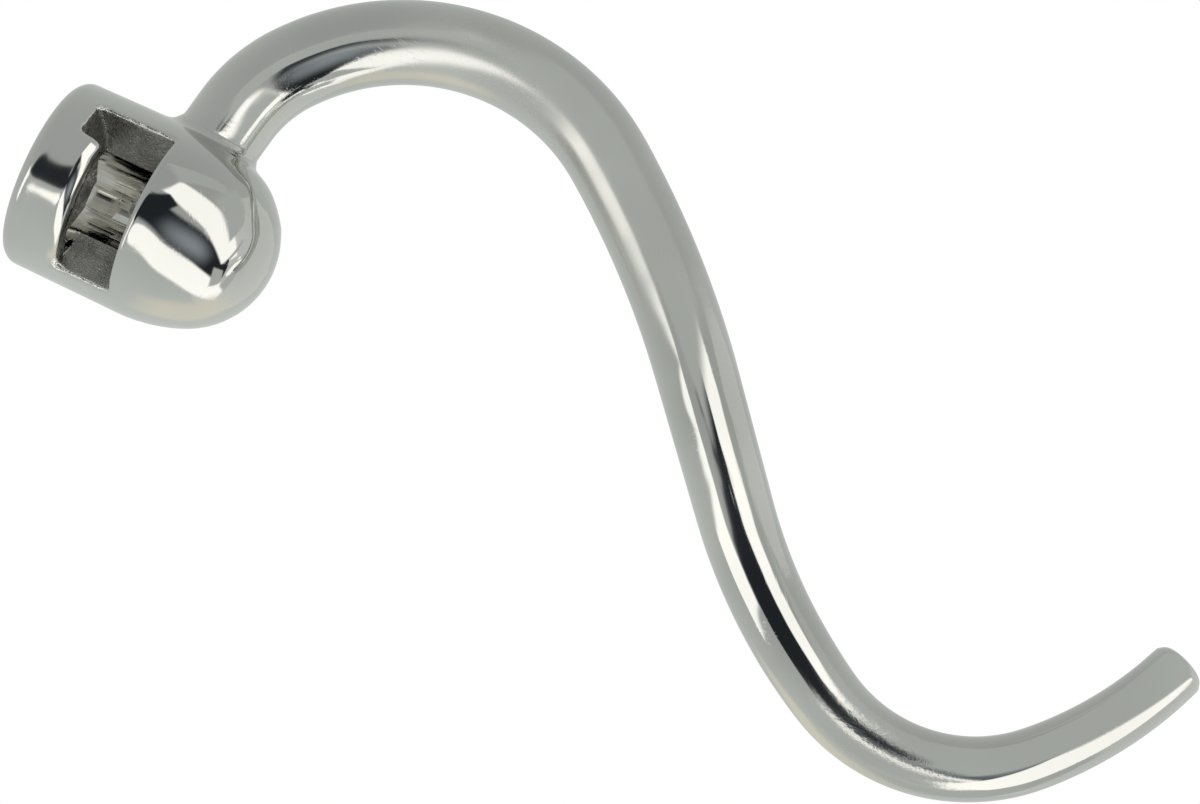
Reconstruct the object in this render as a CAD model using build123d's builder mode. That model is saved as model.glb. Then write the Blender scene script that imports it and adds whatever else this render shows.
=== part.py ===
import os
from math import atan2, cos, degrees, radians, sin

from build123d import *

# Dough hook for a stand mixer, cast in one piece and polished.
# Frame: the origin is the centre of the bore's mouth, +Z points out of the mouth,
# the hook hangs below it, and the rod bends in the XZ plane. Millimetres.

# Drive shaft and its cross pin
shaft_d = 12.7
shaft_clearance = 0.3
pin_d = 4.8
pin_reach = 11.0
pin_clearance = 0.6

# Hub
hub_r_mouth = 14.35
hub_swell = 0.25
dome_h = 18.1
dome_draw = 0.9
mouth_round = 2.0
bore_depth = 29.0
bore_lead_in = 0.4

# Bayonet window
window_top = 9.3
window_height = 8.7
notch_rise = 2.9
notch_play = 1.4
lock_angle = 298.5
quarter_turn = 90.0
window_land = 1.0
core_overhang = 6.0
corner_round = 0.9
window_edge_round = 0.6

# Rod: its start inside the hub, the runs and bends of its centre line, its diameters
root_x = 9.0
root_drop = 20.1
root_dip = 7.6
root_run = 9.7
shoulder_r = 26.2
shoulder_turn = 47.1
crest_r = 37.5
crest_turn = 81.5
middle_run = 65.9
bend_r = 29.6
bend_turn = 110.0
tail_run = 14.0
rod_d_root = 12.7
rod_d_crest = 12.4
rod_d_bend = 10.85
rod_d_tail = 8.7
rod_d_tip = 8.3
root_fillet = 2.8
tip_round = 1.9

# Values that follow from the ones above
bore_d = shaft_d + shaft_clearance
bore_r = bore_d / 2
slot_w = pin_d + pin_clearance
notch_w = pin_d + notch_play
keyway_r = pin_reach + pin_clearance
entry_angle = lock_angle - quarter_turn
window_bottom = window_top + window_height
hub_r_dome = hub_r_mouth + hub_swell
dome_start = window_bottom + window_land
hub_h = dome_start + dome_h
dome_cap_r = hub_r_dome - dome_draw
dome_side_r = (hub_r_dome**2 + (dome_h - dome_cap_r) ** 2 - dome_cap_r**2) / (2 * dome_draw)
dome_turn = degrees(atan2(dome_h - dome_cap_r, dome_side_r - hub_r_dome))
beyond = hub_r_dome + core_overhang


def radial_slot(angle, width, inner, outer):
    """A parallel-sided slot in the XY plane that runs outward at an angle."""
    with Locations(Location((0, 0, 0), (0, 0, angle))):
        with Locations(((inner + outer) / 2, 0)):
            Rectangle(outer - inner, width)


def reach(edge):
    """Distance from the bore's axis to the nearest of an edge's ends and middle."""
    points = [edge.position_at(t) for t in (0, 0.5, 1)]
    return min((p.X**2 + p.Y**2) ** 0.5 for p in points)


# Core of the bayonet window: the pin's way in, its quarter turn and the locking notch
with BuildPart() as window_core:
    with BuildSketch(Plane.XY.offset(-window_bottom)):
        radial_slot(entry_angle, slot_w, 0, beyond)
        radial_slot(lock_angle, notch_w, 0, beyond)
        with BuildLine():
            Line((0, 0), (beyond * cos(radians(entry_angle)), beyond * sin(radians(entry_angle))))
            CenterArc((0, 0), beyond, entry_angle, quarter_turn)
            Line((beyond * cos(radians(lock_angle)), beyond * sin(radians(lock_angle))), (0, 0))
        make_face()
    extrude(amount=window_height)
    with BuildSketch(Plane.XY.offset(-window_top)):
        radial_slot(lock_angle, notch_w, 0, beyond)
    extrude(amount=notch_rise)
    corners = [
        e
        for e in window_core.edges().filter_by(GeomType.LINE)
        if abs(e.tangent_at(0).Z) < 0.01 and e.length > beyond - bore_r
    ]
    fillet(corners, corner_round)

# The hub with its dome, the rod, the bore and the window
with BuildPart() as hook:
    with BuildSketch(Plane.YZ):
        with BuildLine():
            Line((0, 0), (hub_r_mouth, 0))
            Line((hub_r_mouth, 0), (hub_r_dome, -dome_start))
            side = JernArc((hub_r_dome, -dome_start), (0, -1), dome_side_r, -dome_turn)
            TangentArc(side @ 1, (0, -hub_h), tangent=side % 1)
            Line((0, -hub_h), (0, 0))
        make_face()
    revolve(axis=Axis.Z)
    fillet(hook.edges().filter_by(GeomType.CIRCLE).sort_by(Axis.Z)[-1], mouth_round)

    with BuildLine(Plane.XZ):
        root = PolarLine((root_x, -root_drop), root_run, -root_dip)
        shoulder = JernArc(root @ 1, root % 1, shoulder_r, -shoulder_turn)
        crest = JernArc(shoulder @ 1, shoulder % 1, crest_r, -crest_turn)
        middle = Line(crest @ 1, crest @ 1 + (crest % 1) * middle_run)
        bend = JernArc(middle @ 1, middle % 1, bend_r, bend_turn)
        tail = Line(bend @ 1, bend @ 1 + (bend % 1) * tail_run)
    for run, start_d, end_d in (
        (root, rod_d_root, rod_d_crest),
        (middle, rod_d_crest, rod_d_bend),
        (bend, rod_d_bend, rod_d_tail),
        (tail, rod_d_tail, rod_d_tip),
    ):
        with BuildSketch(run ^ 0):
            Circle(start_d / 2)
        with BuildSketch(run ^ 1):
            Circle(end_d / 2)
        sweep(path=run, multisection=True)
        if run is root:
            fillet(hook.edges(Select.NEW), root_fillet)
    for arc in (shoulder, crest):
        with BuildSketch(arc ^ 0):
            Circle(rod_d_crest / 2)
        sweep(path=arc)
    tip_face = hook.faces().filter_by(GeomType.PLANE).sort_by(Axis.Z)[0]
    fillet(tip_face.edges(), tip_round)

    Hole(bore_r, depth=bore_depth)
    mouth_circles = hook.edges().filter_by(GeomType.CIRCLE).group_by(Axis.Z)[-1]
    chamfer(mouth_circles.sort_by(SortBy.RADIUS)[0], bore_lead_in)
    add(window_core.part, mode=Mode.SUBTRACT)
    rim = [e for e in hook.edges(Select.LAST) if reach(e) > (hub_r_mouth + keyway_r) / 2]
    fillet(rim, window_edge_round)
    with BuildSketch(Plane.XY):
        radial_slot(entry_angle, slot_w, 0, keyway_r)
    extrude(amount=-window_top - window_height / 2, mode=Mode.SUBTRACT)

hook.part.label = "dough_hook"
os.makedirs("parts", exist_ok=True)
export_step(hook.part, "parts/dough_hook.step")
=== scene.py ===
from math import asin, atan2, ceil, cos, hypot, pi, radians, sin, sqrt, tan

import bmesh
import bpy
from bpy.props import FloatProperty, FloatVectorProperty, PointerProperty
from mathutils import Matrix, Vector


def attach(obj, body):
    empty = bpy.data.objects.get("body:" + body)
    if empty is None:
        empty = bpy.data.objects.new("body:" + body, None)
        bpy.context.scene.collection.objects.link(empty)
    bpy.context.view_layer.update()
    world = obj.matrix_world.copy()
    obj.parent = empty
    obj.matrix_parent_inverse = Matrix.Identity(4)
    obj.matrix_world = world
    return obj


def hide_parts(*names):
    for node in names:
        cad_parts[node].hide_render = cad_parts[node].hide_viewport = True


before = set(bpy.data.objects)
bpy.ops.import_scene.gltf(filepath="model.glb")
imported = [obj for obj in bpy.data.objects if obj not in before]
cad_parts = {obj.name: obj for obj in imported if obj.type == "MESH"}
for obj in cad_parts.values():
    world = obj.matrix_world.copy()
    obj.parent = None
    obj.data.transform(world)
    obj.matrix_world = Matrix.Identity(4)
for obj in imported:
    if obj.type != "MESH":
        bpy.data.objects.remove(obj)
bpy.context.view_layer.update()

bl_info = {
    "name": "Dough hook",
    "version": (1, 0, 0),
    "blender": (4, 5, 0),
    "location": "View3D > Sidebar > Dough hook",
    "description": "Polished dough hook with a bayonet hub, and the studio it stands in",
    "category": "Mesh",
}

MM = 0.001
# Points closer than this are one
TOUCH = 0.01 * MM
# Places of the two rougher finishes in the hook's list of materials, after the polish
CAST, MACHINED = 1, 2


def length(name, description, millimetres):
    """A length property, given in millimetres and kept in metres."""
    return FloatProperty(
        name=name, description=description, default=millimetres * MM, min=0, unit="LENGTH", precision=5
    )


def angle(name, description, turn):
    """An angle property, given in degrees."""
    return FloatProperty(name=name, description=description, default=radians(turn), subtype="ANGLE")


def colour(name, description, value):
    """A colour property."""
    return FloatVectorProperty(
        name=name, description=description, default=value, size=3, min=0, max=1, subtype="COLOR"
    )


class HubSizes(bpy.types.PropertyGroup):
    """Sizes of the hub, its bore and its bayonet window."""

    mouth_radius: length("Mouth radius", "Outer radius of the hub at its mouth", 14.35)
    swell: length("Swell", "How much wider the hub is where the dome starts", 0.25)
    mouth_round: length("Mouth round", "Radius of the rounded edge of the mouth", 2.0)
    dome_height: length("Dome height", "Height of the domed lower end", 18.1)
    dome_draw: length("Dome draw", "How much the dome draws in before its round cap", 0.9)
    bore_radius: length("Bore radius", "Radius of the drive-shaft bore", 6.5)
    bore_depth: length("Bore depth", "Depth of the blind bore", 29.0)
    lead_in: length("Lead-in", "Chamfer at the mouth of the bore", 0.4)
    keyway_reach: length("Keyway reach", "Distance from the axis to the end of the keyway", 11.6)
    slot_width: length("Slot width", "Width of the keyway and of the window's start", 5.4)
    notch_width: length("Notch width", "Width of the locking notch", 6.2)
    notch_rise: length("Notch rise", "How far the notch rises above the window", 2.9)
    notch_flare: angle("Notch flare", "How much the notch opens towards the outside", 15)
    window_top: length("Window top", "Distance from the mouth to the window", 9.3)
    window_height: length("Window height", "Height of the window", 8.7)
    window_land: length("Window land", "Straight wall between the window and the dome", 1.0)
    corner_round: length("Corner round", "Radius of the window's inside corners", 0.9)
    edge_round: length("Edge round", "Radius of the window's outer edge", 0.6)
    tab_round: length("Tab round", "Radius of the worn edge of the tab above the window", 1.7)
    lock_angle: angle("Lock angle", "Where the notch is round the axis", 298.5)
    quarter_turn: angle("Quarter turn", "Angle from the keyway to the notch", 90)


class RodSizes(bpy.types.PropertyGroup):
    """Sizes of the bent rod."""

    start_reach: length("Start", "Distance from the hub's axis to the start of the rod", 9.0)
    start_drop: length("Drop", "Distance from the mouth down to the start of the rod", 20.11)
    start_dip: angle("Dip", "How steeply the rod dips where it starts", 7.57)
    root_run: length("Root run", "Straight run from the start to the first bend", 10.47)
    shoulder_radius: length("Shoulder radius", "Radius of the first bend down", 22.1)
    shoulder_turn: angle("Shoulder turn", "How far the first bend turns down", 28.74)
    crest_radius: length("Crest radius", "Radius of the arch", 34.48)
    crest_turn: angle("Crest turn", "How far the arch turns down", 89.86)
    easing_radius: length("Easing radius", "Radius of the slight bend after the arch", 153.87)
    easing_turn: angle("Easing turn", "How far the slight bend after the arch turns", 13.2)
    middle_run: length("Middle run", "Straight run between the halves of the S", 21.04)
    sway_radius: length("Sway radius", "Radius of the slight bend before the lower bend", 84.37)
    sway_turn: angle("Sway turn", "How far the slight bend before the lower bend turns", 20.54)
    bend_radius: length("Bend radius", "Radius of the lower bend", 25.33)
    bend_turn: angle("Bend turn", "How far the lower bend turns up", 74.38)
    tail_radius: length("Tail radius", "Radius of the tail's bend", 57.49)
    tail_turn: angle("Tail turn", "How far the tail turns up", 25.79)
    root_width: length("Root width", "Diameter of the rod at the hub", 12.7)
    crest_width: length("Crest width", "Diameter of the rod at its first bend", 12.4)
    middle_width: length("Middle width", "Diameter half way along the rod", 11.9)
    bend_width: length("Bend width", "Diameter where the lower bend starts", 10.7)
    tail_width: length("Tail width", "Diameter after the lower bend", 9.2)
    tip_width: length("Tip width", "Diameter at the tip", 8.3)
    root_fillet: length("Root fillet", "Radius of the fillet between the rod and the hub", 2.8)
    tip_round: length("Tip round", "Radius of the rounded edge of the tip", 1.9)


class Finish(bpy.types.PropertyGroup):
    """Colours of the steel."""

    polished: colour("Polished steel", "Colour of the polished outside", (0.66, 0.66, 0.645))
    cast: colour("Cast wall", "Colour of the window's rougher walls", (0.44, 0.437, 0.42))
    machined: colour("Machined bore", "Colour of the machined bore", (0.85, 0.84, 0.81))


class Studio(bpy.types.PropertyGroup):
    """The studio round the hook."""

    floor_drop: length("Floor drop", "Distance from the hub's mouth down to the floor", 1500)
    tent_reach: length("Tent reach", "Radius of the light tent", 3000)
    floor_colour: colour("Floor", "Colour of the plain floor", (0.82, 0.82, 0.81))


class Hub:
    """The hub's outline, worked out from its sizes."""

    def __init__(self, sizes):
        self.sizes = sizes
        self.roof = -sizes.window_top
        self.notch_top = sizes.notch_rise - sizes.window_top
        self.floor = -sizes.window_top - sizes.window_height
        self.entry = sizes.lock_angle - sizes.quarter_turn
        self.dome_start = self.floor - sizes.window_land
        self.dome_radius = sizes.mouth_radius + sizes.swell
        self.cap_radius = self.dome_radius - sizes.dome_draw
        rise = sizes.dome_height - self.cap_radius
        self.cap_centre = self.dome_start - rise
        self.side_radius = (self.dome_radius**2 + rise**2 - self.cap_radius**2) / (2 * sizes.dome_draw)
        slant = hypot(rise, self.side_radius - self.dome_radius)
        self.joint = self.dome_start - self.side_radius * rise / slant

    def radius(self, z):
        """Outer radius at a height below the rounded mouth."""
        if z >= self.dome_start:
            return self.sizes.mouth_radius + self.sizes.swell * z / self.dome_start
        if z >= self.joint:
            down = self.dome_start - z
            return self.dome_radius - self.side_radius + sqrt(self.side_radius**2 - down**2)
        return sqrt(max(self.cap_radius**2 - (z - self.cap_centre) ** 2, 0))


def polar(radius, turn, z):
    """A point given by its distance from the axis, its angle and its height."""
    return Vector((radius * cos(turn), radius * sin(turn), z))


def between(a, b, share):
    """The value at a share of the way from a to b."""
    return a + (b - a) * share


def along(knots, at):
    """A value read from knots of (place, value), straight between them."""
    for (p, u), (q, v) in zip(knots, knots[1:]):
        if at <= q:
            return between(u, v, (at - p) / (q - p))
    return knots[-1][1]


def edges_of(bm, run, closed):
    """The edges between the neighbours in a run of vertices."""
    return [bm.edges.get(pair) for pair in zip(run, run[1:] + run[:1] if closed else run[1:])]


def extrude_run(bm, run, closed=True):
    """Extrudes a run of vertices and gives the new run in the same order."""
    made = bmesh.ops.extrude_edge_only(bm, edges=edges_of(bm, run, closed))["geom"]
    fresh = {e for e in made if isinstance(e, bmesh.types.BMVert)}
    return [next(e.other_vert(v) for e in v.link_edges if e.other_vert(v) in fresh) for v in run]


def place(run, points):
    """Puts each vertex of a run at its point."""
    for vert, point in zip(run, points):
        vert.co = point


def finish_faces(bm, before, index):
    """Gives the faces made since a stage the index of their material."""
    for face in set(bm.faces) - before:
        face.material_index = index


# Columns of faces round the hub, and those at the window's start, the tab's end, the notch's end and the rod
COLUMNS = 40
WINDOW_COLUMNS = (0, 10, 14)
ROD_COLUMN = 19
# Room between the window's edges and the nearest columns and rows
SIDE_ROOM = radians(6)
NOTCH_ROOM, ROOF_ROOM, FLOOR_ROOM = 2.0 * MM, 0.7 * MM, 1.5 * MM
# Flat ring inside the rounded mouth, and the dome's rows below the window's
MOUTH_LIP = 0.35 * MM
DOME_ROWS = [down * MM for down in (2.5, 5.0, 7.5, 9.8, 11.8, 13.7, 15.3)]


def hub_columns(hub):
    """Angles of the hub's columns, close to the window's sides and symmetric at the rod."""
    sizes = hub.sizes
    slot = asin(sizes.slot_width / 2 / sizes.mouth_radius)
    notch = asin(sizes.notch_width / 2 / sizes.mouth_radius)
    first = hub.entry - slot - SIDE_ROOM
    knots = [
        (0, first),
        (WINDOW_COLUMNS[1], sizes.lock_angle - notch - SIDE_ROOM),
        (WINDOW_COLUMNS[2], sizes.lock_angle + notch + SIDE_ROOM),
        (ROD_COLUMN, 2 * pi),
        (COLUMNS, first + 2 * pi),
    ]
    return [along(knots, j) for j in range(COLUMNS)]


def hub_rows(hub):
    """Radius and height of the hub's rows, and which of them are at the notch, the roof and the floor."""
    sizes = hub.sizes
    turn = sizes.mouth_round
    edge = hub.radius(-turn) - turn
    rows = [(edge - MOUTH_LIP, 0)]
    rows += [(edge + turn * sin(a * pi / 8), turn * cos(a * pi / 8) - turn) for a in range(5)]
    notch, roof = hub.notch_top + NOTCH_ROOM, hub.roof + sizes.tab_round + ROOF_ROOM
    floor = hub.floor - FLOOR_ROOM
    heights = [between(-turn, notch, 0.45), notch]
    notch_row = len(rows) + 1
    heights += [between(roof, floor, i / 4) for i in range(5)]
    heights += [floor - down for down in DOME_ROWS]
    return rows + [(hub.radius(z), z) for z in heights], notch_row, notch_row + 1, notch_row + 5


def hub_shell(bm, hub):
    """The hub's outside: rows extruded from a circle at the mouth down to the round cap."""
    columns = hub_columns(hub)
    rows, notch, roof, floor = hub_rows(hub)
    bmesh.ops.create_circle(bm, segments=COLUMNS, radius=1)
    run = list(bm.verts)
    regular = [2 * pi * (1 + (j - ROD_COLUMN) / COLUMNS) for j in range(COLUMNS)]
    grid = []
    for i, (radius, z) in enumerate(rows):
        if i:
            run = extrude_run(bm, run)
        even = max(0, (i - floor) / (len(rows) - 1 - floor))
        place(run, [polar(radius, between(c, r, even), z) for c, r in zip(columns, regular)])
        grid.append(run)
    side = COLUMNS // 4
    cap = bmesh.ops.create_grid(bm, x_segments=side, y_segments=side, size=1)["verts"]
    reach = asin(rows[-1][0] / hub.cap_radius)
    for vert in cap:
        x, y = vert.co.x, vert.co.y
        ring = max(abs(x), abs(y))
        if ring < TOUCH:
            turn = 0
        elif abs(x) >= abs(y):
            turn = pi / 4 * y / x + (pi if x < 0 else 0)
        else:
            turn = pi / 2 - pi / 4 * x / y + (pi if y < 0 else 0)
        height = hub.cap_centre - hub.cap_radius * cos(reach * ring)
        vert.co = polar(hub.cap_radius * sin(reach * ring), turn, height)
    bmesh.ops.remove_doubles(bm, verts=cap + run, dist=TOUCH)
    return grid, notch, roof, floor


def cut_hole(bm, cells):
    """Takes the faces of a patch of the grid out."""
    bmesh.ops.delete(bm, geom=[bm.faces.get(cell) for cell in cells], context="FACES")


def cells_of(grid, rows, columns):
    """The corners of each face in a block of the grid."""
    return [
        (grid[i][j], grid[i][j + 1], grid[i + 1][j + 1], grid[i + 1][j])
        for i in range(*rows)
        for j in range(*columns)
    ]


# Places in the window's outline: the tab's end, the notch's two top corners and the corner below it
TAB_END, NOTCH_START, NOTCH_END, LOW_CORNER = 10, 11, 15, 20
# Places where the casting's edge is ragged
RAGGED_PLACES = (0, *range(12, 22), *range(33, 38))


def window_outline(hub, radius, grow, tab, corner):
    """Angle and height of the window's outline at a radius, from the top of the entry side round."""
    sizes = hub.sizes
    slot = asin((sizes.slot_width / 2 + grow) / radius)
    notch = asin((sizes.notch_width / 2 + grow) / radius)
    left, key = hub.entry - slot, hub.entry + asin(sizes.slot_width / 2 / radius)
    step, right = sizes.lock_angle - notch, sizes.lock_angle + notch
    flare = tan(sizes.notch_flare) * (radius - sizes.keyway_reach)
    roof, top, floor = hub.roof + tab, hub.notch_top + flare + grow, hub.floor - grow
    cut = (corner + grow) * (1 - sqrt(0.5)) if corner else 0
    tip = max(corner - grow, 0) * (1 - sqrt(0.5))
    levels = [between(hub.roof, hub.floor, i / 4) for i in range(1, 4)]
    points = [(left + cut / radius, roof - cut), (between(left, key, 0.5), roof)]
    points += [(between(key, step, i / 8), roof) for i in range(8)]
    points += [(step - tip / radius, roof + tip), (step + cut / radius, top - cut)]
    points += [(between(step, right, i / 4), top) for i in range(1, 4)]
    points += [(right - cut / radius, top - cut), (right, hub.roof)] + [(right, z) for z in levels]
    points += [(right - cut / radius, floor + cut)]
    points += [(between(right, left, i / 14), floor) for i in range(1, 14)]
    points += [(left + cut / radius, floor + cut)] + [(left, z) for z in reversed(levels)]
    return points


def cut_window(bm, hub, grid, notch, roof, floor):
    """The bayonet window: its rounded outer edge and its walls, in to the bore."""
    sizes = hub.sizes
    first, step, last = WINDOW_COLUMNS
    run = grid[roof][first : step + 1] + grid[notch][step : last + 1]
    run += [grid[i][last] for i in range(roof, floor + 1)]
    run += [grid[floor][j] for j in range(last - 1, first - 1, -1)]
    run += [grid[i][first] for i in range(floor - 1, roof, -1)]
    cut_hole(bm, cells_of(grid, (roof, floor), (first, last)))
    cut_hole(bm, cells_of(grid, (notch, roof), (step, last)))
    ragged = bm.verts.layers.float["ragged"]
    worn = [sizes.tab_round if 0 < k < TAB_END else sizes.edge_round for k in range(len(run))]
    worn[0] = worn[TAB_END] = (sizes.tab_round + sizes.edge_round) / 2
    middle = 1 - sqrt(0.5)
    for grown, sunk in ((1, 0), (middle, middle), (0, 1)):
        run = extrude_run(bm, run)
        edge, tab = sizes.edge_round * grown, sizes.tab_round * grown
        outline = window_outline(hub, sizes.mouth_radius, edge, tab, sizes.corner_round)
        place(run, [polar(hub.radius(z) - e * sunk, turn, z) for (turn, z), e in zip(outline, worn)])
        for k in RAGGED_PLACES:
            run[k][ragged] = 1 if sunk else 0.3
    before = set(bm.faces)
    outer = extrude_run(bm, run)
    outline = window_outline(hub, sizes.keyway_reach, 0, 0, sizes.corner_round)
    place(outer, [polar(sizes.keyway_reach, turn, z) for turn, z in outline])
    half = atan2(sizes.slot_width / 2, sizes.keyway_reach)
    for vert, turn in zip(outer[:3], (-half, 0, half)):
        vert.co = polar(sizes.keyway_reach / cos(turn), hub.entry + turn, hub.roof)
    inner = extrude_run(bm, outer[2:] + outer[:1], closed=False)
    inner = [inner[-1], None] + inner[:-1]
    outline = window_outline(hub, sizes.bore_radius, 0, 0, 0)
    for vert, (turn, z) in zip(inner, outline):
        if vert:
            vert.co = polar(sizes.bore_radius, turn, z)
    finish_faces(bm, before, CAST)
    return outer, inner


# Depths of the rings that keep the bore's wall even, near the mouth and below the window
MOUTH_RING = 3.2 * MM
LOW_RINGS = (22 * MM, 25.5 * MM)
BORE_STEPS = 24


def open_edges(bm, height):
    """The edges at a height that have a face on one side only."""
    single = [e for e in bm.edges if e.is_boundary]
    return [e for e in single if all(abs(v.co.z - height) < TOUCH for v in e.verts)]


def bore_and_keyway(bm, hub, outer, inner, mouth):
    """The bore with its keyway, from the window up to the mouth and down to the blind end."""
    sizes = hub.sizes
    before = set(bm.faces)
    run = [inner[0], *outer[:3], *inner[2:NOTCH_START]]
    above = extrude_run(bm, run, closed=False)
    rise = inner[NOTCH_START].co.z - inner[TAB_END].co.z
    bmesh.ops.translate(bm, verts=above, vec=(0, 0, rise))
    bmesh.ops.weld_verts(bm, targetmap={above[-1]: inner[NOTCH_START]})
    run = above[:-1] + inner[NOTCH_START : NOTCH_END + 1]
    right = [inner[i] for i in range(LOW_CORNER, NOTCH_END - 1, -1)]
    for height in (-MOUTH_RING, -sizes.lead_in, 0):
        run = extrude_run(bm, run, closed=False)
        for vert in run:
            vert.co.z = height
        right.append(run[-1])
    slot = asin(sizes.slot_width / 2 / sizes.bore_radius)
    notch = asin(sizes.notch_width / 2 / sizes.bore_radius)
    sweep = 2 * pi - sizes.quarter_turn - slot - notch
    line = right + edges_of(bm, right, False)
    bmesh.ops.spin(bm, geom=line, cent=(0, 0, 0), axis=(0, 0, 1), angle=sweep, steps=BORE_STEPS)
    near = [v for v in bm.verts if hypot(v.co.x, v.co.y) < sizes.bore_radius + TOUCH]
    bmesh.ops.remove_doubles(bm, verts=near, dist=TOUCH)
    rim = [e for e in open_edges(bm, 0) if e.verts[0] not in mouth]
    for vert in {v for e in rim for v in e.verts}:
        if hypot(vert.co.x, vert.co.y) < sizes.bore_radius + TOUCH:
            turn = atan2(vert.co.y, vert.co.x)
            vert.co = polar(sizes.bore_radius + sizes.lead_in, turn, 0)
    low = open_edges(bm, hub.floor)
    for depth in (*LOW_RINGS, sizes.bore_depth):
        made = bmesh.ops.extrude_edge_only(bm, edges=low)["geom"]
        for vert in made:
            if isinstance(vert, bmesh.types.BMVert):
                vert.co.z = -depth
        low = [e for e in made if isinstance(e, bmesh.types.BMEdge) and e.is_boundary]
    made = bmesh.ops.extrude_edge_only(bm, edges=low)["geom"]
    ends = [v for v in made if isinstance(v, bmesh.types.BMVert)]
    bmesh.ops.scale(bm, verts=ends, vec=(0.5, 0.5, 1))
    low = [e for e in made if isinstance(e, bmesh.types.BMEdge) and e.is_boundary]
    bmesh.ops.edgeloop_fill(bm, edges=low)
    finish_faces(bm, before, MACHINED)
    bmesh.ops.bridge_loops(bm, edges=rim + edges_of(bm, mouth, True))


# Lengths along the rod at which its widths are given, the last at the tip
WIDTH_PLACES = [reach * MM for reach in (0, 55, 110, 155, 188, 221)]
# Most that the rod turns, and most that it grows, in one step of a bend
STEP_TURN, STEP_LENGTH = radians(6.5), 3.3 * MM


class Rod:
    """The rod's place while it is drawn out: its last ring, centre, heading and length so far."""

    def __init__(self, bm, sizes):
        self.bm = bm
        self.sizes = sizes
        self.centre = Vector((sizes.start_reach, 0, -sizes.start_drop))
        self.heading = -sizes.start_dip
        self.length = 0
        self.ring = []

    def forward(self):
        """The direction in which the rod goes on."""
        return Vector((cos(self.heading), 0, sin(self.heading)))

    def up(self):
        """The direction across the rod, in the plane of its bends."""
        return Vector((-sin(self.heading), 0, cos(self.heading)))

    def radius(self):
        """The rod's radius at the length so far."""
        s = self.sizes
        widths = s.root_width, s.crest_width, s.middle_width, s.bend_width, s.tail_width, s.tip_width
        return along(list(zip(WIDTH_PLACES, widths)), self.length) / 2

    def taper(self, before):
        """Scales the last ring about its centre as the rod narrows, and notes how far along it is."""
        layer = self.bm.verts.layers.float["along_rod"]
        for vert in self.ring:
            vert[layer] = self.length / WIDTH_PLACES[-1]
        shift = Matrix.Translation(-self.centre)
        bmesh.ops.scale(self.bm, vec=(self.radius() / before,) * 3, space=shift, verts=self.ring)

    def straight(self, reach, steps):
        """Draws the rod out straight."""
        for _ in range(steps):
            before = self.radius()
            self.ring = extrude_run(self.bm, self.ring)
            move = self.forward() * reach / steps
            bmesh.ops.translate(self.bm, verts=self.ring, vec=move)
            self.centre += move
            self.length += reach / steps
            self.taper(before)

    def bend(self, radius, turn):
        """Draws the rod round a bend, up for a positive turn and down for a negative one."""
        steps = max(ceil(abs(turn) / STEP_TURN), ceil(radius * abs(turn) / STEP_LENGTH))
        side = 1 if turn > 0 else -1
        pivot = self.centre + self.up() * radius * side
        turner = Matrix.Rotation(-turn / steps, 3, "Y")
        for _ in range(steps):
            before = self.radius()
            self.ring = extrude_run(self.bm, self.ring)
            bmesh.ops.rotate(self.bm, verts=self.ring, cent=pivot, matrix=turner)
            self.centre = pivot + turner @ (self.centre - pivot)
            self.heading += turn / steps
            self.length += radius * abs(turn) / steps
            self.taper(before)


# How often a span is halved to find a point, how far along the rod the hub surely ends,
# and the points across the root's fillet
HALVINGS = 40
PAST_HUB = 14 * MM
FILLET_POINTS = 5


def hub_hit(hub, rod, around, reach):
    """How far along the rod's first run the hub's surface is, at an angle and a distance from its axis."""
    side = rod.up() * cos(around) + Vector((0, sin(around), 0))
    low, high = 0.0, PAST_HUB
    for _ in range(HALVINGS):
        middle = (low + high) / 2
        point = rod.centre + rod.forward() * middle + side * reach
        low, high = (middle, high) if hypot(point.x, point.y) < hub.radius(point.z) else (low, middle)
    return low


def root_fillet(hub, rod, around):
    """Reach and distance of the points of the root's fillet, from the hub to the rod, at one angle."""
    fillet, start = rod.sizes.root_fillet, rod.radius()
    step = 0.02 * MM

    def slope(reach):
        rise = hub_hit(hub, rod, around, reach + step) - hub_hit(hub, rod, around, reach - step)
        return rise / (2 * step)

    low, high = start, start + 2 * fillet
    for _ in range(HALVINGS):
        middle = (low + high) / 2
        lean = slope(middle)
        short = middle - fillet * lean / hypot(1, lean) < start + fillet
        low, high = (middle, high) if short else (low, middle)
    lean = slope(low)
    centre = (start + fillet, hub_hit(hub, rod, around, low) + fillet / hypot(1, lean))
    first = atan2(-1, lean)
    points = []
    for i in range(FILLET_POINTS):
        turn = between(first, -pi, i / (FILLET_POINTS - 1))
        points.append((centre[0] + fillet * cos(turn), centre[1] + fillet * sin(turn)))
    return points


# Columns that the root covers on each side of the rod, the hub's skin between it and the fillet,
# the rounds that even out the hub's faces around it, and the steps of the rod's middle run
ROOT_COLUMNS = 4
ROOT_MARGIN = 1.3 * MM
EVENING_ROUNDS = 20
MIDDLE_STEPS = 7


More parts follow.
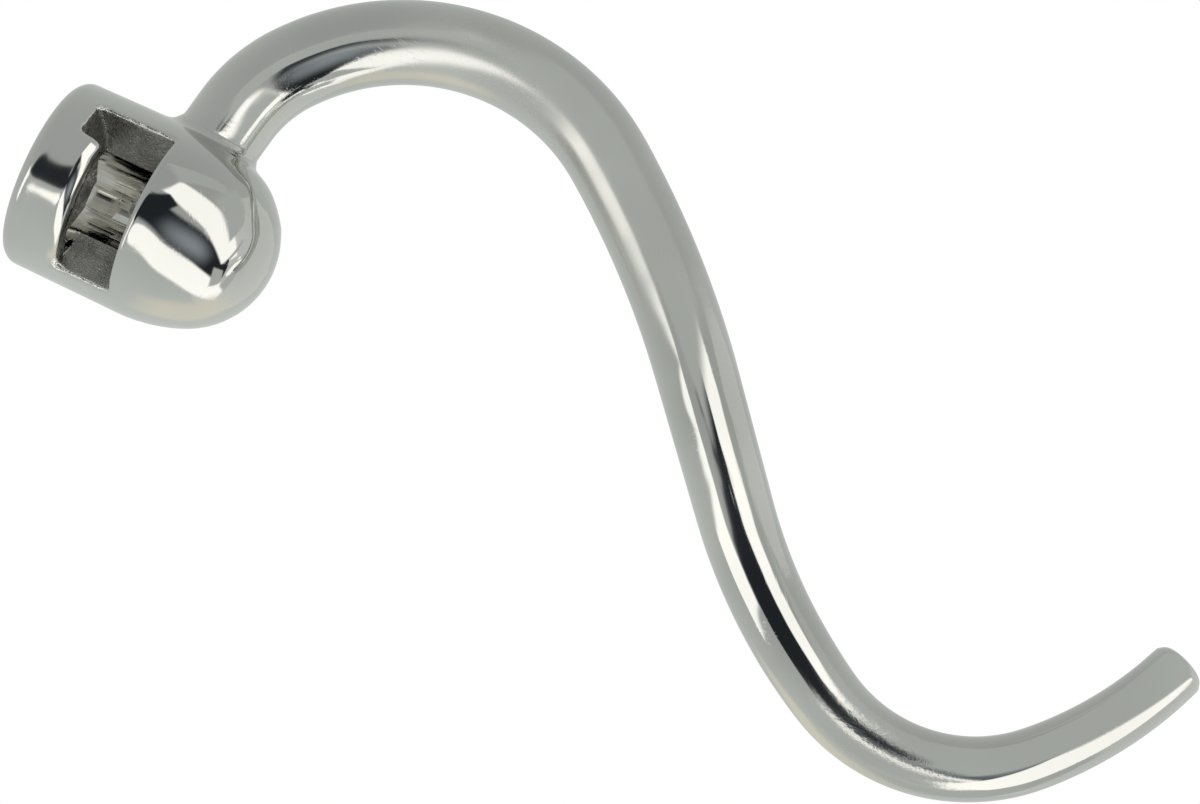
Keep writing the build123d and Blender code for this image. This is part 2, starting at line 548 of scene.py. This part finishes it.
def grow_rod(bm, hub, sizes, grid, roof):
    """The rod: its fillet on the hub, the two bends of the S, and the rounded tip."""
    rod = Rod(bm, sizes)
    top, bottom = roof + 1, len(grid) - 3
    left, right = ROD_COLUMN - ROOT_COLUMNS, ROD_COLUMN + ROOT_COLUMNS
    run = grid[top][left : right + 1] + [grid[i][right] for i in range(top + 1, bottom + 1)]
    run += [grid[bottom][j] for j in range(right - 1, left - 1, -1)]
    run += [grid[i][left] for i in range(bottom - 1, top, -1)]
    cut_hole(bm, cells_of(grid, (top, bottom), (left, right)))
    arounds = [2 * pi * k / len(run) - pi / 4 for k in range(len(run))]
    sides = [rod.up() * cos(a) + Vector((0, sin(a), 0)) for a in arounds]
    fillets = [root_fillet(hub, rod, a) for a in arounds]
    for vert, around, side, fillet in zip(run, arounds, sides, fillets):
        reach = fillet[0][0] + ROOT_MARGIN
        vert.co = rod.centre + rod.forward() * hub_hit(hub, rod, around, reach) + side * reach
    near = [grid[i][j] for i in range(top - 2, bottom + 2) for j in range(left - 3, right + 4)]
    loose = [v for v in near if v.is_valid and v not in run and not v.is_boundary]
    for _ in range(EVENING_ROUNDS):
        for vert in loose:
            beside = [e.other_vert(vert).co for e in vert.link_edges]
            turn = sum(atan2(p.y, p.x) for p in beside) / len(beside)
            z = sum(p.z for p in beside) / len(beside)
            vert.co = polar(hub.radius(z), turn, z)
    for i in range(FILLET_POINTS):
        run = extrude_run(bm, run)
        steps = [fillet[i] for fillet in fillets]
        place(run, [rod.centre + rod.forward() * s[1] + side * s[0] for s, side in zip(steps, sides)])
    rod.ring = extrude_run(bm, run)
    first = rod.centre + rod.forward() * sizes.root_run
    place(rod.ring, [first + side * rod.radius() for side in sides])
    rod.centre = first
    rod.length = sizes.root_run
    rod.bend(sizes.shoulder_radius, -sizes.shoulder_turn)
    rod.bend(sizes.crest_radius, -sizes.crest_turn)
    rod.bend(sizes.easing_radius, -sizes.easing_turn)
    rod.straight(sizes.middle_run, MIDDLE_STEPS)
    rod.bend(sizes.sway_radius, sizes.sway_turn)
    rod.bend(sizes.bend_radius, sizes.bend_turn)
    end = sizes.tip_round
    rod.bend(sizes.tail_radius, sizes.tail_turn - end / sizes.tail_radius)
    round_tip(bm, rod, end)


def round_tip(bm, rod, end):
    """Rounds the rod's tip and closes it."""
    tip = rod.radius()
    for i in range(1, 5):
        rod.ring = extrude_run(bm, rod.ring)
        move = rod.forward() * end * (sin(i * pi / 8) - sin((i - 1) * pi / 8))
        bmesh.ops.translate(bm, verts=rod.ring, vec=move)
        rod.centre += move
        size = (tip - end * (1 - cos(i * pi / 8))) / (tip - end * (1 - cos((i - 1) * pi / 8)))
        bmesh.ops.scale(bm, vec=(size,) * 3, space=Matrix.Translation(-rod.centre), verts=rod.ring)
    for size in (0.6, 0.5):
        rod.ring = extrude_run(bm, rod.ring)
        bmesh.ops.scale(bm, vec=(size,) * 3, space=Matrix.Translation(-rod.centre), verts=rod.ring)
    bmesh.ops.edgeloop_fill(bm, edges=edges_of(bm, rod.ring, True))


# Turns from which the edges of the machined and the cast walls are sharp, and how sharp the cast ones are
MACHINED_TURN, CAST_TURN = radians(40), radians(28)
CAST_CREASE = 0.35


def mark_edges(bm):
    """Creases the edges that stay sharp: the machined ones, and less so those of the cast walls."""
    crease = bm.edges.layers.float.new("crease_edge")
    for edge in bm.edges:
        if len(edge.link_faces) != 2:
            continue
        finishes = {f.material_index for f in edge.link_faces}
        turn = edge.calc_face_angle(0)
        if MACHINED in finishes and turn > MACHINED_TURN:
            edge[crease] = 1
            edge.smooth = False
        elif CAST in finishes and turn > CAST_TURN:
            edge[crease] = CAST_CREASE


def settle(piece, rounds=12):
    """Moves the cage until the smooth surface passes through the points where the cage was drawn."""
    mesh = piece.data
    goal = [v.co.copy() for v in mesh.vertices]
    for _ in range(rounds):
        shown = piece.evaluated_get(bpy.context.evaluated_depsgraph_get())
        smooth = shown.to_mesh()
        for vert, aim in zip(mesh.vertices, goal):
            vert.co += aim - smooth.vertices[vert.index].co
        shown.to_mesh_clear()
        mesh.update()
        piece.update_tag()


def node(tree, kind, inputs=None, **settings):
    """Adds a shader node, with its settings, and its inputs set or linked."""
    made = tree.nodes.new("ShaderNode" + kind)
    for key, value in settings.items():
        setattr(made, key, value)
    for key, value in (inputs or {}).items():
        if isinstance(value, bpy.types.NodeSocket):
            tree.links.new(value, made.inputs[key])
        else:
            made.inputs[key].default_value = value
    return made


def maths(tree, operation, a, b):
    """A sum, product or other step of two values."""
    return node(tree, "Math", {0: a, 1: b}, operation=operation).outputs[0]


def ramp(tree, value, low, high, start=0, end=1):
    """A value that goes smoothly from start to end as another goes from low to high."""
    inputs = {"Value": value, "From Min": low, "From Max": high, "To Min": start, "To Max": end}
    return node(tree, "MapRange", inputs, interpolation_type="SMOOTHSTEP").outputs[0]


def band(tree, value, rise, fall):
    """A value that rises from 0 to 1 over one stretch of another and falls again over a later one."""
    return maths(tree, "MULTIPLY", ramp(tree, value, *rise), ramp(tree, value, *fall, start=1, end=0))


def noise(tree, where, scale, detail):
    """Cloudy noise."""
    return node(tree, "TexNoise", {"Vector": where, "Scale": scale, "Detail": detail}).outputs["Fac"]


def new_group(name, inputs, outputs):
    """A shader node group with named values, and the ends of its tree."""
    tree = bpy.data.node_groups.new(name, "ShaderNodeTree")
    for key, kind, value in inputs:
        socket = tree.interface.new_socket(key, in_out="INPUT", socket_type=kind)
        socket.default_value = value
    for key, kind in outputs:
        tree.interface.new_socket(key, in_out="OUTPUT", socket_type=kind)
    return tree, tree.nodes.new("NodeGroupInput"), tree.nodes.new("NodeGroupOutput")


def polishing_marks():
    """Thin scratches in one direction, in patches, as the polishing wheel leaves them."""
    tree, start, end = new_group(
        "polishing_marks",
        (
            ("Vector", "NodeSocketVector", (0, 0, 0)),
            ("Turn", "NodeSocketVector", (0, 0, 0)),
            ("Stretch", "NodeSocketVector", (75, 4600, 4600)),
            ("Patch size", "NodeSocketFloat", 60),
            ("Share", "NodeSocketFloat", 0.5),
        ),
        (("Marks", "NodeSocketFloat"),),
    )
    where = start.outputs["Vector"]
    turned = node(tree, "Mapping", {"Vector": where, "Rotation": start.outputs["Turn"]})
    pulled = node(tree, "Mapping", {"Vector": turned.outputs[0], "Scale": start.outputs["Stretch"]})
    lines = noise(tree, pulled.outputs[0], 1, 1)
    patches = noise(tree, where, start.outputs["Patch size"], 1)
    limit = maths(tree, "SUBTRACT", 1, start.outputs["Share"])
    shown = ramp(tree, maths(tree, "SUBTRACT", patches, limit), -0.04, 0.08)
    marks = maths(tree, "MULTIPLY", ramp(tree, lines, 0.58, 0.72), shown)
    tree.links.new(marks, end.inputs["Marks"])
    return tree


def metal_grain():
    """Fine pits and crystals of the casting."""
    tree, start, end = new_group(
        "metal_grain",
        (
            ("Vector", "NodeSocketVector", (0, 0, 0)),
            ("Coarse", "NodeSocketFloat", 1100),
            ("Fine", "NodeSocketFloat", 4000),
            ("Mix", "NodeSocketFloat", 0.4),
        ),
        (("Height", "NodeSocketFloat"), ("Sparkle", "NodeSocketFloat")),
    )
    where = start.outputs["Vector"]
    coarse = noise(tree, where, start.outputs["Coarse"], 2)
    fine = noise(tree, where, start.outputs["Fine"], 1)
    crystals = node(tree, "TexVoronoi", {"Vector": where, "Scale": start.outputs["Fine"]})
    height = maths(tree, "ADD", coarse, maths(tree, "MULTIPLY", fine, start.outputs["Mix"]))
    tree.links.new(maths(tree, "SUBTRACT", height, 0.7), end.inputs["Height"])
    glint = node(tree, "SeparateColor", {0: crystals.outputs["Color"]}).outputs[0]
    tree.links.new(ramp(tree, glint, 0.6, 0.95), end.inputs["Sparkle"])
    return tree


def mottled_tone():
    """Cloudy patches between a duller and a brighter tone of the metal."""
    tree, start, end = new_group(
        "mottled_tone",
        (
            ("Vector", "NodeSocketVector", (0, 0, 0)),
            ("Scale", "NodeSocketFloat", 100),
            ("Dull", "NodeSocketColor", (0.5, 0.5, 0.5, 1)),
            ("Bright", "NodeSocketColor", (0.7, 0.7, 0.7, 1)),
        ),
        (("Tone", "NodeSocketColor"), ("Patches", "NodeSocketFloat")),
    )
    clouds = noise(tree, start.outputs["Vector"], start.outputs["Scale"], 2)
    patches = ramp(tree, clouds, 0.32, 0.68)
    tones = {0: patches, 6: start.outputs["Dull"], 7: start.outputs["Bright"]}
    tree.links.new(node(tree, "Mix", tones, data_type="RGBA").outputs[2], end.inputs["Tone"])
    tree.links.new(patches, end.inputs["Patches"])
    return tree


def group(tree, kind, **inputs):
    """Places a node group with its own values."""
    inputs = {key.replace("_", " "): value for key, value in inputs.items()}
    return node(tree, "Group", inputs, node_tree=kind)


def bump(tree, height, distance, under=None):
    """A bump of a height in metres, on top of another."""
    inputs = {"Height": height, "Distance": distance, "Strength": 1}
    if under:
        inputs["Normal"] = under
    return node(tree, "Bump", inputs).outputs[0]


def new_steel(name):
    """A metal material, its tree, its shader and the piece's own coordinates."""
    material = bpy.data.materials.new(name)
    material.use_nodes = True
    tree = material.node_tree
    shader = tree.nodes["Principled BSDF"]
    shader.inputs["Metallic"].default_value = 1
    where = node(tree, "TexCoord").outputs["Object"]
    return material, tree, shader, where


def mottle(tree, shader, kind, where, tint, scale, dullness):
    """Gives a shader its mottled colour, and returns the patches."""
    dull = (*(c * dullness for c in tint), 1)
    made = group(tree, kind, Vector=where, Scale=scale, Dull=dull, Bright=(*tint, 1))
    tree.links.new(made.outputs["Tone"], shader.inputs["Base Color"])
    return made.outputs["Patches"]


# Heights of the polish's waves, its scratches and its pits, of the cast walls' pits and of the bore's scores
WAVE_HEIGHT = 0.22 * MM
SCRATCH_HEIGHT = 0.0025 * MM
PIT_HEIGHT = 0.13 * MM
CAST_PIT_HEIGHT = 0.19 * MM
SCORE_HEIGHT = 0.008 * MM
# Stretches of the rod, as shares of its length, over which its satin rises and falls
ARCH_SATIN = (0.11, 0.2), (0.41, 0.52)
BEND_SATIN = (0.72, 0.77), (0.79, 0.86)


def polished_steel(tint, tone, marks, grain):
    """Mirror polish that is a little wavy, satin at the arch and in the lower bend, with fine marks."""
    material, tree, shader, where = new_steel("polished_steel")
    along = node(tree, "Attribute", attribute_name="along_rod").outputs["Fac"]
    ragged = node(tree, "Attribute", attribute_name="ragged").outputs["Fac"]
    patches = mottle(tree, shader, tone, where, tint, scale=38, dullness=0.9)
    arch, bend = band(tree, along, *ARCH_SATIN), band(tree, along, *BEND_SATIN)
    satin = maths(tree, "MAXIMUM", arch, maths(tree, "MULTIPLY", bend, 0.75))
    strokes = group(tree, marks, Vector=where, Turn=(0.3, 0.7, 0.2), Share=0.47).outputs[0]
    streaks = group(tree, marks, Vector=where, Stretch=(3600, 3600, 110), Patch_size=85, Share=0.44)
    lines = maths(tree, "MAXIMUM", strokes, streaks.outputs[0])
    pits = group(tree, grain, Vector=where, Coarse=1500, Fine=4200, Mix=0.5)
    rough = ramp(tree, patches, 0, 1, start=0.045, end=0.1)
    for dulling, share in ((satin, 0.16), (lines, 0.1), (ragged, 0.1)):
        rough = maths(tree, "ADD", rough, maths(tree, "MULTIPLY", dulling, share))
    tree.links.new(rough, shader.inputs["Roughness"])
    normal = bump(tree, noise(tree, where, 75, 1.5), WAVE_HEIGHT)
    normal = bump(tree, lines, SCRATCH_HEIGHT, normal)
    rub = maths(tree, "ADD", maths(tree, "MULTIPLY", bend, 0.3), ragged)
    normal = bump(tree, maths(tree, "MULTIPLY", pits.outputs["Height"], rub), PIT_HEIGHT, normal)
    tree.links.new(normal, shader.inputs["Normal"])
    return material


def cast_steel(tint, tone, grain):
    """The window's walls as they were cast, rough and glinting."""
    material, tree, shader, where = new_steel("cast_steel")
    pits = group(tree, grain, Vector=where, Coarse=1000, Fine=3600, Mix=0.6)
    mottle(tree, shader, tone, where, tint, scale=260, dullness=0.66)
    rough = ramp(tree, pits.outputs["Sparkle"], 0, 1, start=0.46, end=0.2)
    tree.links.new(rough, shader.inputs["Roughness"])
    normal = bump(tree, pits.outputs["Height"], CAST_PIT_HEIGHT)
    tree.links.new(normal, shader.inputs["Normal"])
    return material


def machined_steel(tint, tone, marks):
    """The bore as the reamer left it, with fine rings and a few score lines."""
    material, tree, shader, where = new_steel("machined_steel")
    rings = group(tree, marks, Vector=where, Stretch=(25, 25, 2600), Patch_size=90, Share=0.42).outputs[0]
    scores = group(tree, marks, Vector=where, Stretch=(1500, 1500, 12), Patch_size=25, Share=0.62).outputs[0]
    tree.links.new(ramp(tree, scores, 0, 1, start=0.05, end=0.16), shader.inputs["Roughness"])
    mottle(tree, shader, tone, where, tint, scale=150, dullness=0.8)
    both = maths(tree, "ADD", scores, maths(tree, "MULTIPLY", rings, 0.25))
    tree.links.new(bump(tree, both, SCORE_HEIGHT), shader.inputs["Normal"])
    return material


class MakeHook(bpy.types.Operator):
    """Makes the hook: the hub with its bayonet window and bore, and the bent rod, in one casting"""

    bl_idname = "dough_hook.make_hook"
    bl_label = "Make the hook"

    def execute(self, context):
        scene = context.scene
        hub = Hub(scene.hub_sizes)
        bm = bmesh.new()
        bm.verts.layers.float.new("ragged")
        bm.verts.layers.float.new("along_rod")
        grid, notch, roof, floor = hub_shell(bm, hub)
        outer, inner = cut_window(bm, hub, grid, notch, roof, floor)
        bore_and_keyway(bm, hub, outer, inner, grid[0])
        grow_rod(bm, hub, scene.rod_sizes, grid, roof)
        bmesh.ops.recalc_face_normals(bm, faces=bm.faces)
        mark_edges(bm)
        for face in bm.faces:
            face.smooth = True
        mesh = bpy.data.meshes.new("dough_hook_casting")
        bm.to_mesh(mesh)
        bm.free()
        piece = bpy.data.objects.new("dough_hook_casting", mesh)
        scene.collection.objects.link(piece)
        smooth = piece.modifiers.new("Polished surface", "SUBSURF")
        smooth.levels = smooth.render_levels = 2
        settle(piece)
        finish = scene.steel_finish
        tone, marks, grain = mottled_tone(), polishing_marks(), metal_grain()
        mesh.materials.append(polished_steel(finish.polished, tone, marks, grain))
        mesh.materials.append(cast_steel(finish.cast, tone, grain))
        mesh.materials.append(machined_steel(finish.machined, tone, marks))
        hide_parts("dough_hook")
        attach(piece, "root")
        return {"FINISHED"}


# The lens: its focal length in pixels of a picture that wide, the sensor's width, its place, the directions
# to the right of, above and behind the picture, and the point of the hook that it looks at
FOCAL_PIXELS, PICTURE_WIDTH = 5456, 1200
SENSOR_WIDTH = 36
HOOK_DISTANCE = 0.79
RIGHT = Vector((0.43869, 0.02571, -0.89827))
UP = Vector((0.86569, -0.28030, 0.41475))
BACK = RIGHT.cross(UP)
LENS_PLACE = Vector((-186.47, -754.90, -203.09)) * MM
MIDDLE = LENS_PLACE - BACK * HOOK_DISTANCE


def glow(name, tint, soft=None):
    """A material that only gives light, and may fade out towards a panel's edges."""
    material = bpy.data.materials.new(name)
    material.use_nodes = True
    tree = material.node_tree
    tree.nodes.clear()
    light = node(tree, "Emission", {"Color": (*tint, 1)}).outputs[0]
    if soft:
        split = node(tree, "SeparateXYZ", {0: node(tree, "TexCoord").outputs["UV"]})
        fades = [ramp(tree, maths(tree, "PINGPONG", split.outputs[k], 0.5), 0, soft[k]) for k in (0, 1)]
        clear = node(tree, "BsdfTransparent").outputs[0]
        light = node(tree, "MixShader", {0: maths(tree, "MULTIPLY", *fades), 1: clear, 2: light}).outputs[0]
    node(tree, "OutputMaterial", {"Surface": light})
    return material


def shade_tent(material, darker):
    """Makes the tent's cloth darker towards one side and lighter towards the other."""
    tree = material.node_tree
    where = node(tree, "TexCoord").outputs["Object"]
    point = node(tree, "VectorMath", {0: where}, operation="NORMALIZE").outputs["Vector"]
    side = node(tree, "VectorMath", {0: point, 1: -darker}, operation="DOT_PRODUCT").outputs["Value"]
    light = next(n for n in tree.nodes if n.type == "EMISSION")
    tree.links.new(maths(tree, "ADD", side, 1), light.inputs["Strength"])


def stage_object(name, bm, material, seen=False):
    """Makes a stage object that the camera may or may not see."""
    mesh = bpy.data.meshes.new(name)
    bm.to_mesh(mesh)
    bm.free()
    mesh.materials.append(material)
    thing = bpy.data.objects.new(name, mesh)
    bpy.context.scene.collection.objects.link(thing)
    thing.visible_camera = seen


def panel(name, material, centre, aside, above, distance, width, height, roll):
    """A flat panel that faces a point and stands so many degrees to the right of and above the lens."""
    off = hypot(aside, above)
    direction = BACK * cos(radians(off))
    if off:
        direction += (RIGHT * aside + UP * above) * (sin(radians(off)) / off)
    bm = bmesh.new()
    bm.loops.layers.uv.new("UVMap")
    bmesh.ops.create_grid(bm, x_segments=1, y_segments=1, size=0.5, calc_uvs=True)
    bmesh.ops.scale(bm, verts=bm.verts, vec=(width, height, 1))
    across = (RIGHT - direction * RIGHT.dot(direction)).normalized()
    turn = Matrix((across, direction.cross(across), direction)).transposed()
    turn = turn @ Matrix.Rotation(radians(roll), 3, "Z")
    bmesh.ops.rotate(bm, verts=bm.verts, cent=(0, 0, 0), matrix=turn)
    bmesh.ops.translate(bm, verts=bm.verts, vec=centre + direction * distance)
    stage_object(name, bm, material)


FLOOR_GLOW = 0.25


def pale_floor(tint):
    """A plain pale floor, which the camera and the steel see as pale however it is lit, with its shadow."""
    material = bpy.data.materials.new("pale_floor")
    material.use_nodes = True
    tree = material.node_tree
    shader = tree.nodes["Principled BSDF"]
    shader.inputs["Base Color"].default_value = (*tint, 1)
    shader.inputs["Roughness"].default_value = 0.8
    shader.inputs["Emission Color"].default_value = (1, 0.995, 0.96, 1)
    ray = node(tree, "LightPath")
    seen = maths(tree, "MAXIMUM", ray.outputs["Is Camera Ray"], ray.outputs["Is Glossy Ray"])
    tree.links.new(maths(tree, "MULTIPLY", seen, FLOOR_GLOW), shader.inputs["Emission Strength"])
    return material


# How the tent's cloth darkens, and the tints of the cloth and of what stands in the tent
TENT_SHADE = UP * 0.15 + BACK * 0.12
GREY = (0.573, 0.6, 0.575)
WHITE = (1.55, 1.53, 1.45)
DARK = (0.022, 0.0255, 0.03)
BLUE = (0.34, 0.38, 0.41)
WARM = (0.85, 0.83, 0.71)


def beside(right, up):
    """A point beside the hook's middle, so many millimetres to the right and up in the picture."""
    return MIDDLE + RIGHT * right * MM + UP * up * MM


def hang_panels():
    """The softboxes, dark flags and cards that the steel reflects."""
    softbox = glow("softbox_cloth", WHITE, (0.12, 0.04))
    flag = glow("dark_flag", DARK, (0.17, 0.06))
    blue = glow("blue_card", BLUE, (0.5, 0.5))
    grey = glow("grey_card", GREY, (0.1, 0.12))
    bounce = glow("bounce_card", WARM, (0.3, 0.3))
    hub, arch, crest, rod = Vector((0, 0, -18 * MM)), beside(5, 35), beside(-36, 51), beside(20, -11)
    bend, tail, tail_end = beside(40, -49), beside(58, -54), beside(68, -51)
    # Name, material, point faced, degrees to the right and above, distance, width, height, roll in degrees
    for row in (
        ("softbox_right", softbox, hub, 41, 10, 0.7, 0.42, 1.4, 38),
        ("softbox_left", softbox, hub, 2, -50, 0.7, 0.42, 1.75, 38),
        ("dark_flag", flag, MIDDLE, 16, -18, 1.0, 0.74, 2.7, 38),
        ("blue_card", blue, hub, 13, -15, 0.85, 0.6, 1.1, 38),
        ("bounce_card", bounce, hub, 6, -108, 0.15, 0.2, 0.14, 0),
        ("arch_card", grey, arch, 3, 30, 0.026, 0.068, 0.068, 45),
        ("crest_card", grey, crest, 0, 32, 0.02, 0.045, 0.014, 15),
        ("rod_flag", flag, rod, -17, 20, 0.8, 0.25, 0.7, -60),
        ("rod_softbox", softbox, rod, -59, 3, 0.8, 0.24, 0.54, -60),
        ("bend_card", grey, bend, -25, -30, 0.06, 0.08, 0.05, -30),
        ("bend_flag", flag, beside(35, -45), -1, 8, 0.05, 0.032, 0.012, -40),
        ("bend_shade", grey, beside(52, -49), 8, 27, 0.055, 0.034, 0.09, -20),
        ("tail_card", grey, tail, 0, -62, 0.04, 0.09, 0.036, 20),
        ("tail_softbox", softbox, tail, 20, -14, 0.035, 0.07, 0.02, 36),
        ("tail_shade", grey, tail_end, 10, 27, 0.03, 0.07, 0.028, 30),
    ):
        panel(*row)


class MakeStudio(bpy.types.Operator):
    """Makes the pale floor, the light tent with its softboxes, and the camera"""

    bl_idname = "dough_hook.make_studio"
    bl_label = "Make the studio"

    def execute(self, context):
        scene = context.scene
        studio = scene.studio
        scene.view_settings.view_transform = "Standard"
        bm = bmesh.new()
        bmesh.ops.create_grid(bm, x_segments=1, y_segments=1, size=2.5)
        bmesh.ops.translate(bm, verts=bm.verts, vec=(0, 0, -studio.floor_drop))
        stage_object("studio_floor", bm, pale_floor(studio.floor_colour), True)
        bm = bmesh.new()
        bmesh.ops.create_icosphere(bm, subdivisions=4, radius=studio.tent_reach)
        bmesh.ops.reverse_faces(bm, faces=bm.faces)
        cloth = glow("tent_cloth", GREY)
        shade_tent(cloth, TENT_SHADE)
        stage_object("light_tent", bm, cloth)
        hang_panels()
        world = bpy.data.worlds.new("studio_world")
        scene.world = world
        world.use_nodes = True
        world.node_tree.nodes["Background"].inputs["Color"].default_value = (1, 1, 1, 1)
        data = bpy.data.cameras.new("studio_camera")
        data.sensor_width = SENSOR_WIDTH
        data.lens = FOCAL_PIXELS / PICTURE_WIDTH * SENSOR_WIDTH
        data.clip_end = 20
        camera = bpy.data.objects.new("studio_camera", data)
        scene.collection.objects.link(camera)
        turn = Matrix((RIGHT, UP, BACK)).transposed().to_4x4()
        camera.matrix_world = Matrix.Translation(LENS_PLACE) @ turn
        scene.camera = camera
        return {"FINISHED"}


class HookPanel(bpy.types.Panel):
    """Lists the hook's operators and sizes"""

    bl_idname = "VIEW3D_PT_dough_hook"
    bl_label = "Dough hook"
    bl_space_type = "VIEW_3D"
    bl_region_type = "UI"
    bl_category = "Dough hook"

    def draw(self, context):
        for operator in (MakeHook, MakeStudio):
            self.layout.operator(operator.bl_idname)
        for name in GROUPS:
            sizes = getattr(context.scene, name)
            box = self.layout.box()
            for key in sizes.__annotations__:
                box.prop(sizes, key)


GROUPS = {"hub_sizes": HubSizes, "rod_sizes": RodSizes, "steel_finish": Finish, "studio": Studio}
CLASSES = (*GROUPS.values(), MakeHook, MakeStudio, HookPanel)


def register():
    for kind in CLASSES:
        bpy.utils.register_class(kind)
    for name, kind in GROUPS.items():
        setattr(bpy.types.Scene, name, PointerProperty(type=kind))


def unregister():
    for name in GROUPS:
        delattr(bpy.types.Scene, name)
    for kind in reversed(CLASSES):
        bpy.utils.unregister_class(kind)


def main():
    register()
    bpy.ops.dough_hook.make_hook()
    bpy.ops.dough_hook.make_studio()


if __name__ == "__main__":
    main()
